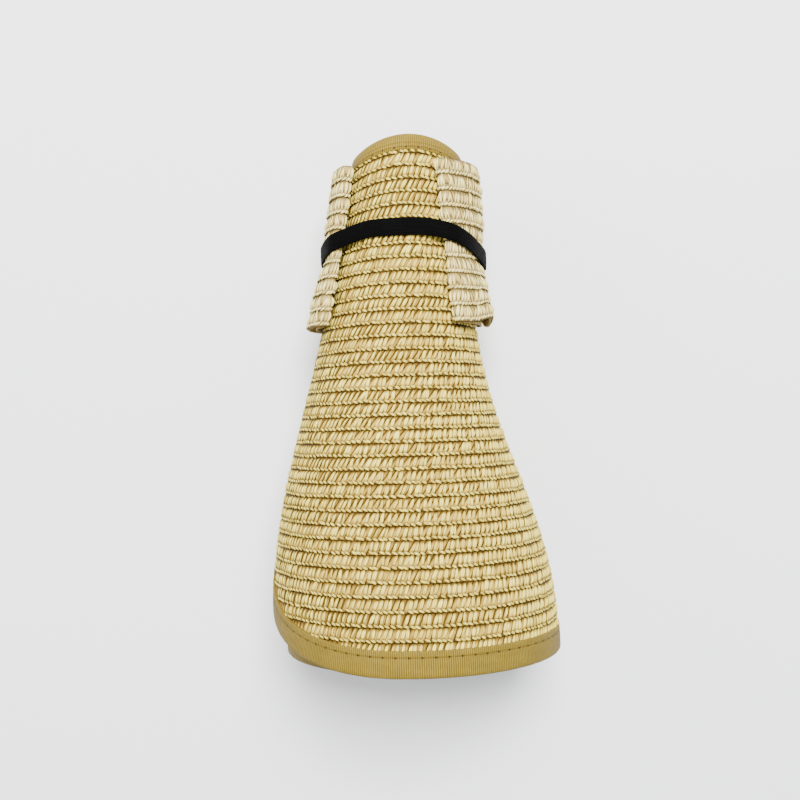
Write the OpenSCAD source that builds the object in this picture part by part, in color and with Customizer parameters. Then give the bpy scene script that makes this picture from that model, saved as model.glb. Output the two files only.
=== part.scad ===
// Roll-up straw sun visor, rolled into a cone and held by an elastic band.
// The roll lies on a table: +Y points to the narrow (head) end, +Z up, origin under its middle.

/* [Brim] */
// Length of the brim along the roll's axis, from the head edge to the outer edge
brim_len = 152; // [120:1:190]
// Thickness of the braided straw sheet
straw_t = 1; // [0.8:0.1:1.1]
// Radius of the outermost turn at the head edge
head_r = 16.4; // [14:0.2:22]
// Radius of the outermost turn at the outer edge
rim_r = 44; // [36:0.5:56]
// How far the bell-shaped side swings in and out of a straight cone
bell = 2.75; // [0:0.05:3.5]
// Where along the side the bell turns from hollow to full (higher is nearer the outer edge)
bell_shift = 1.36; // [1:0.02:1.6]
// How far the roll's middle line bows from side to side
sway = 1.9; // [0:0.1:2.5]
// Number of turns in the roll
turns = 6; // [4:0.5:7.5]
// Spacing of the turns at the head edge
head_pitch = 1.75; // [1.75:0.05:1.9]
// Spacing of the turns at the outer edge
rim_pitch = 4.4; // [3:0.1:5]
// Direction of the sheet's free end round the axis, measured from straight up
free_end_az = -105; // [-125:1:-90]
// Length of the rounded corner along the outer edge
corner_run = 75; // [50:1:90]
// Length of the rounded corner up the free end
corner_rise = 36; // [20:1:50]
// Lean of the roll's axis, narrow end down
lean = 5.5; // [3:0.5:7]

/* [Ribbon binding] */
// Thickness of the grosgrain ribbon
ribbon_t = 0.3; // [0.2:0.05:0.35]
// Visible width of the ribbon on the outer edge and ends
rim_ribbon_w = 7.2; // [5:0.1:10]
// Visible width of the ribbon on the head edge
head_ribbon_w = 6; // [4:0.1:9]
// Distance of the seam from the ribbon's inner edge
seam_inset = 1.8; // [1:0.1:3]
// Width of the sewing thread
thread_d = 0.3; // [0.2:0.05:0.5]
// How far the sewing thread stands up from the ribbon
thread_rise = 0.1; // [0.05:0.05:0.2]

/* [Closure tabs] */
// Length of each hook-and-loop tab round the head edge
tab_len = 20; // [12:1:28]
// Width of each tab
tab_w = 16; // [10:1:20]
// Thickness of each tab
tab_t = 0.5; // [0.3:0.05:0.6]
// Distance of the tabs from the head edge
tab_inset = 9; // [8:0.5:14]

/* [Bow] */
// Width of the bow's straw strip
bow_w = 48; // [36:1:52]
// Distance of the bow's middle from the head edge
bow_mid = 31.5; // [29:0.5:36]
// Direction of the knot round the axis
knot_az = 168; // [160:1:178]
// Length of each loop round the roll, from the knot's middle to the fold
loop_angle = 136; // [120:1:140]
// Thickness of the bow's straw
ply_t = 1.3; // [1:0.1:1.5]
// Height of each loop, over both its plies
loop_h = 4; // [3.4:0.1:4.6]
// Width of the strip where the knot gathers it
gather_w = 13; // [10:1:18]
// Half the angle that the knot covers
knot_half = 24; // [18:1:28]
// Thickness of the wrap beside and under the gathered strip
wrap_t = 1.2; // [1:0.1:2]
// Radius of the knot's rounded outside
knot_round = 14; // [12:0.5:16]

/* [Elastic band] */
// Width of the elastic
band_w = 5; // [4:0.5:7]
// Thickness of the elastic
band_t = 0.8; // [0.6:0.1:1.2]
// Distance of the elastic from the head edge, over the top of the roll
band_top = 28; // [24:0.5:34]
// How much further from the head edge the elastic lies at the sides
side_dip = 8; // [4:0.1:10]
// How much further from the head edge the elastic lies under the knot
knot_dip = 3; // [1:0.1:6]
// Height of the bar tack that joins the elastic's ends
tack_t = 0.4; // [0.3:0.1:0.6]

/* [Fits] */
// Gap between pieces that are sewn together
sew_gap = 0.1; // [0.05:0.05:0.2]
// Gap between the bow and the brim under it
bow_gap = 0.4; // [0.3:0.1:0.6]
// Gap round everything that the elastic slides over
slide_gap = 0.6; // [0.45:0.05:0.8]

/* [Hidden] */

straw = [0.80, 0.70, 0.49];
pale_straw = [0.83, 0.76, 0.60];
ribbon = [0.71, 0.62, 0.39];
thread = [0.62, 0.52, 0.33];
beige = [0.78, 0.73, 0.62];
black = [0.04, 0.04, 0.045];

coarse = 18;                    // turn angle of one facet of the sheet
fine = 9;                       // and of one facet near the free end
rows = 7;                       // facets across the sheet
total = 360 * turns;
sheet_half = straw_t / 2;
rim_lift = sheet_half + ribbon_t;

// ---- the rolled sheet: a point at s from the head edge and `turn` degrees from the free end
function roll_r(s) = head_r + (rim_r - head_r) * s / brim_len
    - bell * sin(360 * pow(max(s, 0) / brim_len, bell_shift));
function pitch(s) = head_pitch + (rim_pitch - head_pitch) * s / brim_len;
function slope(s) = atan((roll_r(s + 0.5) - roll_r(s - 0.5)));
function sway_at(y) = sway * cos(360 * y / brim_len);
function polar(r, az, y) = [sway_at(y) + r * sin(az), y, r * cos(az)];
function sheet_at(s, turn, off) = polar(roll_r(s) - pitch(s) * turn / 360 + off * cos(slope(s)),
    free_end_az + turn, brim_len - s + off * sin(slope(s)));

// ---- columns of the sheet, its rounded corners and its rows
inner_rim_r = rim_r - rim_pitch * turns;
out_corner = corner_run / rim_r * 180 / PI;
in_corner = corner_run / inner_rim_r * 180 / PI;
fine_end = coarse * ceil(out_corner / coarse);
col = concat([for (t = [fine : fine : fine_end]) t],
    [for (t = [fine_end + coarse : coarse : total - 1.5 * coarse]) t], [total - coarse]);
cols = len(col);
// part of a corner that is left at this turn: 1 at the sheet's end, 0 past the corner
function corner_part(t) = t < out_corner ? (out_corner - t) / (out_corner - fine)
    : t > total - in_corner ? (t - total + in_corner) / (in_corner - coarse) : 0;
function arc_y(p) = sqrt(max(0, 1 - p * p));
function ribbon_edge(t) = brim_len - corner_rise + (corner_rise - rim_ribbon_w) * arc_y(corner_part(t));
function outer_edge(t) = brim_len - corner_rise + corner_rise * arc_y(corner_part(t));
function outer_turn(t) = t < out_corner ? out_corner * (1 - corner_part(t))
    : t > total - in_corner ? total - in_corner * (1 - corner_part(t)) : t;
function row_s(j, t) = j == 0 ? 0 : head_ribbon_w + (ribbon_edge(t) - head_ribbon_w) * (j - 1) / (rows - 1);

// stations round the ends and the outer edge: [on the ribbon's inner edge, on the sheet's edge]
end_row = [for (j = [0 : rows]) row_s(j, col[0])];
stations = concat(
    [for (j = [0 : rows]) [[end_row[j], fine], [end_row[j], 0]]],
    [for (k = [1 : cols - 2]) [[ribbon_edge(col[k]), col[k]], [outer_edge(col[k]), outer_turn(col[k])]]],
    [for (j = [rows : -1 : 0]) [[end_row[j], total - coarse], [end_row[j], total]]]);
stn = len(stations);
// stations along the head edge, back from the sheet's inner end
head_turns = concat([0], col, [total]);
head_stations = [for (i = [len(head_turns) - 1 : -1 : 0]) [[head_ribbon_w, head_turns[i]], [0, head_turns[i]]]];

// ---- triangles of a strip of quads between two rows of indices
function quads(a, b) = [for (i = [0 : len(a) - 2]) each [[a[i], b[i], b[i + 1]], [a[i], b[i + 1], a[i + 1]]]];
function flip(faces) = [for (f = faces) [f[2], f[1], f[0]]];
function shift(faces, n) = [for (f = faces) [f[0] + n, f[1] + n, f[2] + n]];
// a sweep closed at both ends; every fourth strip is cut the other way, to match the sheet's triangles
function tube_faces(rings, n, ends) = concat(
    [for (i = [0 : rings - 2], j = [0 : n - 1]) each let (a = i * n + j, b = i * n + (j + 1) % n)
        j % 4 == 3 ? [[a, b, a + n], [b, b + n, a + n]] : [[a, b, b + n], [a, b + n, a + n]]],
    ends, shift(flip(ends), (rings - 1) * n));

// the taut outline round points given as [angle, radius]: the farthest chord at each angle
function chord(a, b, az) = a[1] * b[1] * sin(b[0] - a[0])
    / (a[1] * sin(az - a[0]) + b[1] * sin(b[0] - az));
function taut(pts, az) = max(concat([0], [for (a = pts, b = pts, w = [0, 360])
    let (c = [a[0] - w, a[1]], d = [b[0], b[1]])
    if (c[0] <= az && d[0] >= az && d[0] - c[0] < 179 && d[0] - c[0] > 0.01) chord(c, d, az)]));

function blend(a, b, x) = let (t = min(1, max(0, (x - a) / (b - a)))) t * t * (3 - 2 * t);

// ---- place of the roll on the table
seam_from_rim = rim_ribbon_w - seam_inset;
seam_lift = rim_lift + sew_gap / 2 + thread_rise;
belly = 15;                     // the sheet bulges most about this far from the outer edge
function drop(s, turn, lift) = (brim_len - s) * sin(lean)
    - cos(free_end_az + turn) * (roll_r(s) - pitch(s) * turn / 360 + lift) * cos(lean);
axis_z = max([for (t = [0 : 3 : 360], q = [[0, rim_lift], [seam_from_rim, seam_lift], [belly, sheet_half]])
    drop(brim_len - q[0], t, q[1])]);
// the free end's rounded corner makes its side the narrower one
mid_x = sway - rim_pitch / 8;
mid_y = (brim_len * cos(lean) + (head_r + rim_lift - axis_z) * sin(lean)) / 2;
module on_table() translate([-mid_x, -mid_y, axis_z]) rotate([-lean, 0, 0]) children();
// the same for a point, in the table's frame
function table_pt(p) = [p[0] - mid_x, -mid_y + p[1] * cos(lean) + p[2] * sin(lean),
    axis_z - p[1] * sin(lean) + p[2] * cos(lean)];

// ---- the bow's loops lie on the outermost turn; the left one also passes over the free end
knot_turn = knot_az - free_end_az;
free_end_a = 360 - knot_turn;
past_knot = knot_half * 1.3;    // the strip opens out from here on
function under_turn(side, a) = side > 0 ? (knot_turn - a * blend(past_knot, 2 * knot_half, a)) / 360
    : knot_turn / 360 * (1 - blend(past_knot, free_end_a - knot_half / 2, a));
function bow_base(s, side, a) = roll_r(s) - pitch(s) * under_turn(side, a) + sheet_half + bow_gap
    + wrap_t * (1 - blend(past_knot, 2 * knot_half, a))
    + (side > 0 ? 0 : (seam_lift - sheet_half) * blend(past_knot, free_end_a - knot_half / 2, a));
function bow_half_w(a) = (gather_w + (bow_w - gather_w) * blend(past_knot, 3 * knot_half, a)) / 2;
gather_h = 2 * ply_t + 2 * sew_gap;
// half the loop's height at a degrees from the knot; it closes in a round fold at the tip
tip_angle = loop_h / 2 / (roll_r(bow_mid) + loop_h / 2) * 180 / PI;
function loop_half(a) = (gather_h + (loop_h - gather_h) * blend(past_knot, 2 * knot_half, a)) / 2;
function fold(a, tip) = arc_y(max(0, (a - (tip - tip_angle)) / tip_angle));
loop_steps = 12;
loop_from = 1;                  // each loop starts this angle from the knot's middle
loop_a = concat([for (i = [0 : loop_steps]) loop_from
    + (loop_angle - tip_angle - loop_from) * i / loop_steps],
    [for (q = [30, 60]) loop_angle - tip_angle * (1 - sin(q))]);
across = [-1, -0.5, 0, 0.5, 1];

module brim_sheet() {
    n = rows + 1;
    grid = cols * n;
    body = [for (side = [1, -1]) each concat(
        [for (t = col, j = [0 : rows]) sheet_at(row_s(j, t), t, side * sheet_half)],
        [for (m = stations) sheet_at(m[1][0], m[1][1], side * sheet_half)])];
    half = grid + stn;
    inner = concat([for (j = [0 : rows]) j], [for (k = [1 : cols - 2]) k * n + rows],
        [for (j = [rows : -1 : 0]) (cols - 1) * n + j]);
    outer = [for (m = [0 : stn - 1]) grid + m];
    face = concat(
        [for (k = [0 : cols - 2]) each flip(quads([for (j = [0 : rows]) k * n + j],
            [for (j = [0 : rows]) (k + 1) * n + j]))],
        quads(inner, outer));
    edge = concat(outer, [for (k = [cols - 1 : -1 : 0]) k * n], [grid]);
    color(straw) on_table()
        polyhedron(points = body, faces = flip(concat(face, shift(flip(face), half),
            quads(edge, [for (v = edge) v + half]))), convexity = 12);
}

// a ribbon folded over the sheet's edge, from station a to station b of a list
module binding(list, a, b) {
    lip = sheet_half + ribbon_t;
    ring = [for (m = [a : b]) each let (i = list[m][0], o = list[m][1],
        mid = sheet_at(o[0], o[1], 0), out = mid - sheet_at(i[0], i[1], 0),
        e = out / norm(out) * ribbon_t)
        [sheet_at(i[0], i[1], sheet_half), sheet_at(i[0], i[1], lip), sheet_at(o[0], o[1], lip) + e,
        sheet_at(o[0], o[1], -lip) + e, sheet_at(i[0], i[1], -lip), sheet_at(i[0], i[1], -sheet_half),
        sheet_at(o[0], o[1], -sheet_half), sheet_at(o[0], o[1], sheet_half)]];
    ends = [[0, 1, 2], [0, 2, 7], [7, 2, 3], [7, 3, 6], [6, 3, 4], [6, 4, 5]];
    polyhedron(points = ring, faces = flip(tube_faces(b - a + 1, 8, flip(ends))), convexity = 12);
}

// the seam's thread, on the ribbon's outer face
module seam(list, a, b, w) {
    in = seam_inset / w;
    low = rim_lift + sew_gap / 2;
    high = low + thread_rise;
    ring = [for (m = [a : b]) each let (i = list[m][0], o = list[m][1], h = thread_d / 2 / w,
        p = i + (o - i) * (in - h), q = i + (o - i) * (in + h))
        [sheet_at(p[0], p[1], low), sheet_at(p[0], p[1], high),
        sheet_at(q[0], q[1], high), sheet_at(q[0], q[1], low)]];
    ends = [[0, 1, 2], [0, 2, 3]];
    polyhedron(points = ring, faces = flip(tube_faces(b - a + 1, 4, flip(ends))), convexity = 12);
}

module rim_binding() color(ribbon) on_table() binding(stations, 1, stn - 2);
module head_binding() color(ribbon) on_table() binding(head_stations, 0, len(head_stations) - 1);
module rim_seam() color(thread) on_table() seam(stations, 1, stn - 2, rim_ribbon_w);
// only the outermost turn has room for it, up to where the free end comes near
head_seam_end = 330;
head_seam_cols = [for (i = [0 : len(head_stations) - 1]) if (head_stations[i][0][1] < head_seam_end) i];
module head_seam() color(thread) on_table()
    seam(head_stations, min(head_seam_cols), len(head_stations) - 1, head_ribbon_w);

// a flat tab that follows the sheet, from turn t0 on, between two heights off its middle
module tab(t0, low) {
    s = [tab_inset, tab_inset + tab_w / 2, tab_inset + tab_w];
    span = tab_len / (roll_r(s[1]) - pitch(s[1]) * t0 / 360) * 180 / PI;
    n = ceil(span / fine);
    ring = [for (i = [0 : n]) each let (t = t0 + span * i / n)
        concat([for (p = s) sheet_at(p, t, low)],
        [for (j = [2 : -1 : 0]) sheet_at(s[j], t, low + tab_t)])];
    ends = [[0, 1, 4], [0, 4, 5], [1, 2, 3], [1, 3, 4]];
    polyhedron(points = ring, faces = tube_faces(n + 1, 6, flip(ends)), convexity = 4);
}
module hook_tab() color(beige) on_table() tab(2 * fine, -sheet_half - sew_gap - tab_t);
tab_in_span = tab_len / (roll_r(tab_inset) - head_pitch * turns) * 180 / PI;
module loop_tab() color(beige) on_table() tab(total - coarse - tab_in_span - fine, sheet_half + sew_gap);

// the gathered strip runs straight through the knot, whatever the roll's sway
function straighten(s, a) = (sway_at(brim_len - bow_mid) - sway_at(brim_len - s))
    * (1 - blend(past_knot, 2 * knot_half, a));

// one loop of the bow: side 1 runs to the right, side -1 to the left. A strip folded back on itself
module bow_loop(side) {
    function pt(v, a, up, wall) = let (hw = bow_half_w(a), s = bow_mid + v * hw,
        h = loop_half(a), mid = bow_base(s, side, a) + h,
        inner = (h - wall) * fold(a, loop_angle - wall * tip_angle / (loop_h / 2)))
        polar(mid + up * inner, knot_az - side * a, brim_len - s) + [straighten(s, a), 0, 0];
    function outline(v, wall) = let (last = loop_angle - wall * tip_angle / (loop_h / 2),
        k = (last - loop_from) / (loop_angle - loop_from),
        as = [for (a = loop_a) loop_from + (a - loop_from) * k])
        concat([for (a = as) pt(v, a, -1, wall)], [pt(v, last, 0, wall)],
        [for (i = [len(as) - 1 : -1 : 0]) pt(v, as[i], 1, wall)]);
    n = 2 * len(loop_a) + 1;
    nv = len(across);
    pts = concat([for (v = across) each outline(v, 0)], [for (v = across) each outline(v, ply_t)]);
    skin = [for (i = [0 : nv - 2], j = [0 : n - 1]) each let (a = i * n + j, b = i * n + (j + 1) % n)
        [[a, b, b + n], [a, b + n, a + n]]];
    lip = [for (j = [0 : n - 1]) each let (k = (j + 1) % n, m = nv * n) [[j, j + m, k + m], [j, k + m, k]]];
    far = [for (f = flip(lip)) [for (v = f) v + (nv - 1) * n]];
    all = concat(skin, shift(flip(skin), nv * n), lip, far);
    polyhedron(points = pts, faces = side > 0 ? all : flip(all), convexity = 8);
}
module bow_left_loop() color(pale_straw) on_table() bow_loop(-1);
module bow_right_loop() color(pale_straw) on_table() bow_loop(1);

// ---- the knot: a wrap round the gathered strip, flat where it faces the table
press = 0.02;                                    // the table presses the elastic flat by this much
knot_z = band_t + slide_gap - press;             // the elastic passes between the knot and the table
knot_base = roll_r(bow_mid) - pitch(bow_mid) * knot_turn / 360 + sheet_half + bow_gap;
slot_low = knot_base + wrap_t - sew_gap;
slot_high = knot_base + wrap_t + gather_h + sew_gap;
slot_half = bow_half_w(knot_half) + sew_gap;
tilt_span = 5;
knot_tilt = (bow_base(bow_mid + tilt_span, 1, 0) - bow_base(bow_mid - tilt_span, 1, 0)) / (2 * tilt_span);
knot_centre_y = brim_len - bow_mid;
knot_floor = (axis_z - knot_centre_y * sin(lean)) - knot_z;      // from the axis down to its flat face
knot_flat = 1.5;                                 // how much of the round outside the flat takes away
knot_blank = knot_floor + 4;                     // the wrap before it is rounded
module in_sway() translate([sway_at(knot_centre_y), 0, 0]) children();
module round_the_axis(az, span) rotate([-90, 0, 0]) rotate([0, 0, az - span - 90])
    rotate_extrude(angle = 2 * span, $fn = 96) children();
module bow_knot() {
    half = slot_half + wrap_t;
    tilt = knot_tilt;
    ball = knot_floor + knot_flat - knot_round;
    color(pale_straw) difference() {
        on_table() in_sway() intersection() {
            round_the_axis(knot_az, knot_half) difference() {
                polygon([[knot_base + half * tilt, knot_centre_y - half],
                    [knot_blank, knot_centre_y - half], [knot_blank, knot_centre_y + half],
                    [knot_base - half * tilt, knot_centre_y + half]]);
                polygon([[slot_low + slot_half * tilt, knot_centre_y - slot_half],
                    [slot_high + slot_half * tilt, knot_centre_y - slot_half],
                    [slot_high - slot_half * tilt, knot_centre_y + slot_half],
                    [slot_low - slot_half * tilt, knot_centre_y + slot_half]]);
            }
            translate([ball * sin(knot_az), knot_centre_y, ball * cos(knot_az)])
                sphere(r = knot_round, $fn = 64);
        }
        translate([-rim_r, -brim_len, -knot_floor]) cube([2 * rim_r, 2 * brim_len, knot_floor + knot_z]);
    }
}

// thread tacks that hold the knot to the brim
tack_r = 0.7;
tack_spread = 5;
module bow_tacks() color(thread) on_table() in_sway()
    for (az = [-10, 10], y = [-tack_spread, tack_spread])
        rotate([0, knot_az + az, 0])
            translate([0, knot_centre_y + y, knot_base - y * knot_tilt - bow_gap / 2])
                cylinder(r = tack_r, h = bow_gap - 2 * sew_gap, center = true, $fn = 24);

// ---- the elastic: a taut loop round the roll, the bow and the knot
function dip(az) = side_dip * blend(0, 90, abs(az)) - (side_dip - knot_dip) * blend(90, 180, abs(az));
function left_turn(az) = (az + 720 - knot_az) % 360;
function loop_side(az) = knot_az - az >= 0 && knot_az - az <= loop_angle ? 1
    : left_turn(az) <= loop_angle ? -1 : 0;
function outer_r(s, az) = let (side = loop_side(az), a = side > 0 ? knot_az - az : left_turn(az))
    side == 0 ? roll_r(s) - pitch(s) * max(0, az - free_end_az) / 360 + sheet_half
    : bow_base(s, side, a) + loop_half(a) * (1 + fold(a, loop_angle));
function knot_r(az) = let (d = az - knot_az, c = knot_floor + knot_flat - knot_round)
    c * cos(d) + sqrt(pow(knot_round, 2) - pow(c * sin(d), 2));
band_s = brim_len - band_top;
band_axis_z = axis_z - (band_s - side_dip) * sin(lean);
function about_axis(p) = [atan2(p[0], p[2] - band_axis_z), norm([p[0], p[2] - band_axis_z])];
step = 6;
function under() = concat(
    [for (a = loop_a, az = [knot_az - a, knot_az + a - 360]) let (s = band_top + dip(az) + band_w / 2)
        about_axis(table_pt(polar(outer_r(s, az), az, brim_len - s)))],
    [for (az = [-180 : step : 180 - step]) let (s = band_top + dip(az) + band_w / 2)
        about_axis(table_pt(polar(outer_r(s, az), az, brim_len - s)))],
    [for (az = [knot_az - knot_half : knot_half / 6 : knot_az + knot_half])
        let (p = table_pt(polar(knot_r(az), az, knot_centre_y))) about_axis([p[0], 0, max(p[2], knot_z)])]);
function band_ring() = let (pts = under()) [for (az = [-180 : step : 180 - step])
    [az, max(taut(pts, az), taut(pts, az - 360)) + slide_gap]];
function band_pt(st, out, w) = let (az = st[0], r = st[1] + out,
    mid = table_pt(polar(st[1], az, band_s - dip(az))))
    [r * sin(az), mid[1] + w, max(0, band_axis_z + r * cos(az))];
function band_section(st, low, high, w) = [band_pt(st, low, -w / 2), band_pt(st, high, -w / 2),
    band_pt(st, high, w / 2), band_pt(st, low, w / 2)];
module elastic_band() {
    ring = band_ring();
    n = len(ring);
    pts = [for (st = ring) each band_section(st, 0, band_t, band_w)];
    color(black) polyhedron(points = pts, faces = [for (i = [0 : n - 1], j = [0 : 3]) each
        let (a = i * 4 + j, b = i * 4 + (j + 1) % 4, c = ((i + 1) % n) * 4)
        [[a, b, c + (j + 1) % 4], [a, c + (j + 1) % 4, c + j]]], convexity = 6);
}
tack_from = 6;                                   // the facet of the elastic that the bar tack sits on
module elastic_bar_tack() {
    ring = band_ring();
    color(black) polyhedron(points = [for (i = [tack_from, tack_from + 1])
        each band_section(ring[i], band_t, band_t + tack_t, band_w - 1)],
        faces = tube_faces(2, 4, [[2, 1, 0], [3, 2, 0]]));
}

brim_sheet();
rim_binding();
head_binding();
rim_seam();
head_seam();
hook_tab();
loop_tab();
bow_left_loop();
bow_right_loop();
bow_knot();
bow_tacks();
elastic_band();
elastic_bar_tack();
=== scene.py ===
import bpy
import numpy as np
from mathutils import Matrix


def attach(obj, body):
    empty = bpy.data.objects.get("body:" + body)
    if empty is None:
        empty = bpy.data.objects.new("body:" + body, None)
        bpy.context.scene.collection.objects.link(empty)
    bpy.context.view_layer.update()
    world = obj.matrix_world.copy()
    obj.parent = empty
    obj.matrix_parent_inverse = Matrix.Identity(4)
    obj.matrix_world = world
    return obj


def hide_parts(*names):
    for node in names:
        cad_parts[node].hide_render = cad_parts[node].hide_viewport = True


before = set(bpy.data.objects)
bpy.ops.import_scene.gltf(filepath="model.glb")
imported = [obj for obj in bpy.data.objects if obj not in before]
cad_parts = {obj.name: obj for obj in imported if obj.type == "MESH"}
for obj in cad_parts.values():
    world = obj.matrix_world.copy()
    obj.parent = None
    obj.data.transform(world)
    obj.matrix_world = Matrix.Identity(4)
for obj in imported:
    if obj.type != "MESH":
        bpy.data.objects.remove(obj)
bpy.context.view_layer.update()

# ---- The table, the light and the camera
# The roll lies on a near-white card under one broad soft light, with a weaker one from the side.
# The camera looks down on it, square to its leaning middle line.


def soft_light(name, place, aim, across, power, colour=(1, 1, 1)):
    """A square soft light of that width in metres at place, turned to face aim."""
    lamp = bpy.data.lights.new(name, "AREA")
    lamp.size, lamp.energy, lamp.color = across, power, colour
    stand = bpy.data.objects.new(name, lamp)
    bpy.context.scene.collection.objects.link(stand)
    at = np.array(place, float)
    back = at - np.array(aim, float)
    stand.location = place
    stand.rotation_euler = (np.arctan2(np.hypot(back[0], back[1]), back[2]), 0, np.arctan2(back[0], -back[1]))


def finish_named(name, rough=0.6):
    """A new material and its shader; every finish below starts from one."""
    made = bpy.data.materials.new(name)
    made.use_nodes = True
    shader = made.node_tree.nodes["Principled BSDF"]
    shader.inputs["Roughness"].default_value = rough
    return made, made.node_tree, shader


card, _, card_shader = finish_named("table_card", 0.9)
card_shader.inputs["Base Color"].default_value = (0.80, 0.805, 0.82, 1)
card_shader.inputs["Specular IOR Level"].default_value = 0.2
card_mesh = bpy.data.meshes.new("table_card")
card_mesh.from_pydata([(-3, -3, 0), (3, -3, 0), (3, 3, 0), (-3, 3, 0)], [], [(0, 1, 2, 3)])
card_mesh.materials.append(card)
table = bpy.data.objects.new("table_card", card_mesh)
bpy.context.scene.collection.objects.link(table)

sky = bpy.data.worlds.new("studio")
sky.use_nodes = True
sky.node_tree.nodes["Background"].inputs["Color"].default_value = (0.96, 0.98, 1, 1)
sky.node_tree.nodes["Background"].inputs["Strength"].default_value = 0.95
bpy.context.scene.world = sky
soft_light("overhead", (0.09, 0.5, 1.0), (0, 0, 0.03), 0.42, 46)
soft_light("side", (-0.9, 0.3, 0.5), (0, 0, 0.03), 0.6, 6, (1, 0.97, 0.93))

eye = bpy.data.cameras.new("camera")
eye.lens, eye.sensor_width, eye.clip_start = 50.45, 36, 0.01
camera = bpy.data.objects.new("camera", eye)
camera.location = (0.00326, 0.02909, 0.37614)
camera.rotation_euler = np.radians((-4.909, 1.042, -1.509))
bpy.context.scene.collection.objects.link(camera)
bpy.context.scene.camera = camera

# ---- The rolled brim
# A limp sheet of straw braid, sewn row to row, rolled into a bell-sided cone of six turns.
# Sizes are in millimetres; on_table() lays the roll on its knot and rim, and gives metres.

BRIM_LONG, STRAW_HALF = 152.0, 0.5
HEAD_R, RIM_R, BELL, BELL_SHIFT, SWAY = 16.4, 44.0, 2.75, 1.36, 1.9
HEAD_PITCH, RIM_PITCH, TURNS, FREE_END = 1.75, 4.4, 6, -105.0
CORNER_RUN, CORNER_RISE = 75.0, 36.0
LEAN = np.radians(5.5)
HEAD_SAG = 4.6


def roll_r(s):
    """The outermost turn's radius at s from the head edge: a straight cone less a swing of one sine wave."""
    part = np.clip(s, 0, None) / BRIM_LONG
    return HEAD_R + (RIM_R - HEAD_R) * part - BELL * np.sin(2 * np.pi * part ** BELL_SHIFT)


def turn_pitch(s):
    """The spacing of the turns, which grows evenly from the head edge to the rim."""
    return HEAD_PITCH + (RIM_PITCH - HEAD_PITCH) * s / BRIM_LONG


def sheet_r(s, turn):
    """The sheet's radius, turn degrees in from its free end: a spiral."""
    return roll_r(s) - turn_pitch(s) * turn / 360


def polar(r, az, y):
    """A point at radius r and az degrees from straight up, y along the middle line, which sways as a cosine."""
    return np.stack(np.broadcast_arrays(SWAY * np.cos(2 * np.pi * y / BRIM_LONG) + r * np.sin(np.radians(az)),
                                        y, r * np.cos(np.radians(az))), -1)


rim_lift, seam_low = 0.8, 0.95
round_it = np.arange(0, 361, 3.0)
AXIS_Z = max(np.max((BRIM_LONG - s) * np.sin(LEAN) - np.cos(np.radians(FREE_END + round_it))
                    * (sheet_r(s, round_it) + lift) * np.cos(LEAN))
             for s, lift in ((BRIM_LONG, rim_lift), (BRIM_LONG - 5.4, seam_low), (BRIM_LONG - 15, STRAW_HALF)))
MID_Y = (BRIM_LONG * np.cos(LEAN) + (HEAD_R + rim_lift - AXIS_Z) * np.sin(LEAN)) / 2
MID_X = SWAY - RIM_PITCH / 8


def on_table(p):
    """A point of the roll turned by its lean and put on the table, in metres. What would go below the table
    is pressed flat on it."""
    x, y, z = p[..., 0], p[..., 1], p[..., 2]
    up = AXIS_Z - y * np.sin(LEAN) + z * np.cos(LEAN)
    return np.stack([x - MID_X, y * np.cos(LEAN) + z * np.sin(LEAN) - MID_Y, np.maximum(up, 0.0)], -1) / 1000


def on_sheet(s, turn, lift):
    """A point lift off the middle of the sheet, along its outward normal. Near the head edge the rows sag
    towards the rim at the roll's two sides, as the square of the sine of the angle from the top."""
    tilt = np.arctan(roll_r(s + 0.5) - roll_r(s - 0.5))
    sag = HEAD_SAG * np.exp(-np.clip(s, 0, None) / 28) * np.sin(np.radians(FREE_END + turn)) ** 2
    along = BRIM_LONG - s - sag + lift * np.sin(tilt)
    return on_table(polar(sheet_r(s, turn) + lift * np.cos(tilt), FREE_END + turn, along))


def piece(name, points, faces, uv, finish, body="roll", tone=None, out_of_painted_shade=None):
    """A mesh from whole arrays: points (n, 3) in metres, four-cornered faces (m, 4) and a uv (n, 2) per point.
    tone, and how far each point lies out of the shade painted at a leaf's ends and sides, are one number for each
    point, which a finish can read."""
    mesh = bpy.data.meshes.new(name)
    mesh.vertices.add(len(points))
    mesh.vertices.foreach_set("co", points.astype(np.float32).ravel())
    mesh.loops.add(faces.size)
    mesh.loops.foreach_set("vertex_index", faces.astype(np.int32).ravel())
    mesh.polygons.add(len(faces))
    mesh.polygons.foreach_set("loop_start", np.arange(0, faces.size, 4, dtype=np.int32))
    mesh.polygons.foreach_set("use_smooth", np.ones(len(faces), bool))
    mesh.update(calc_edges=True)
    layer = mesh.uv_layers.new(name="UVMap")
    layer.data.foreach_set("uv", uv[faces.ravel()].astype(np.float32).ravel())
    for word, value in (("tone", tone), ("out_of_painted_shade", out_of_painted_shade)):
        if value is not None:
            mesh.attributes.new(word, "FLOAT", "POINT").data.foreach_set("value", value.astype(np.float32))
    mesh.materials.append(finish)
    made = bpy.data.objects.new(name, mesh)
    bpy.context.scene.collection.objects.link(made)
    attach(made, body)
    return made


def grid_faces(rows, cols, first=0, flip=False):
    """The faces of a grid of points, row by row, that faces the side its rows turn to."""
    i, j = np.meshgrid(np.arange(rows - 1), np.arange(cols - 1), indexing="ij")
    a = (first + i * cols + j).ravel()
    made = np.stack([a, a + 1, a + cols + 1, a + cols], -1)
    return made[:, ::-1] if flip else made


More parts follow.
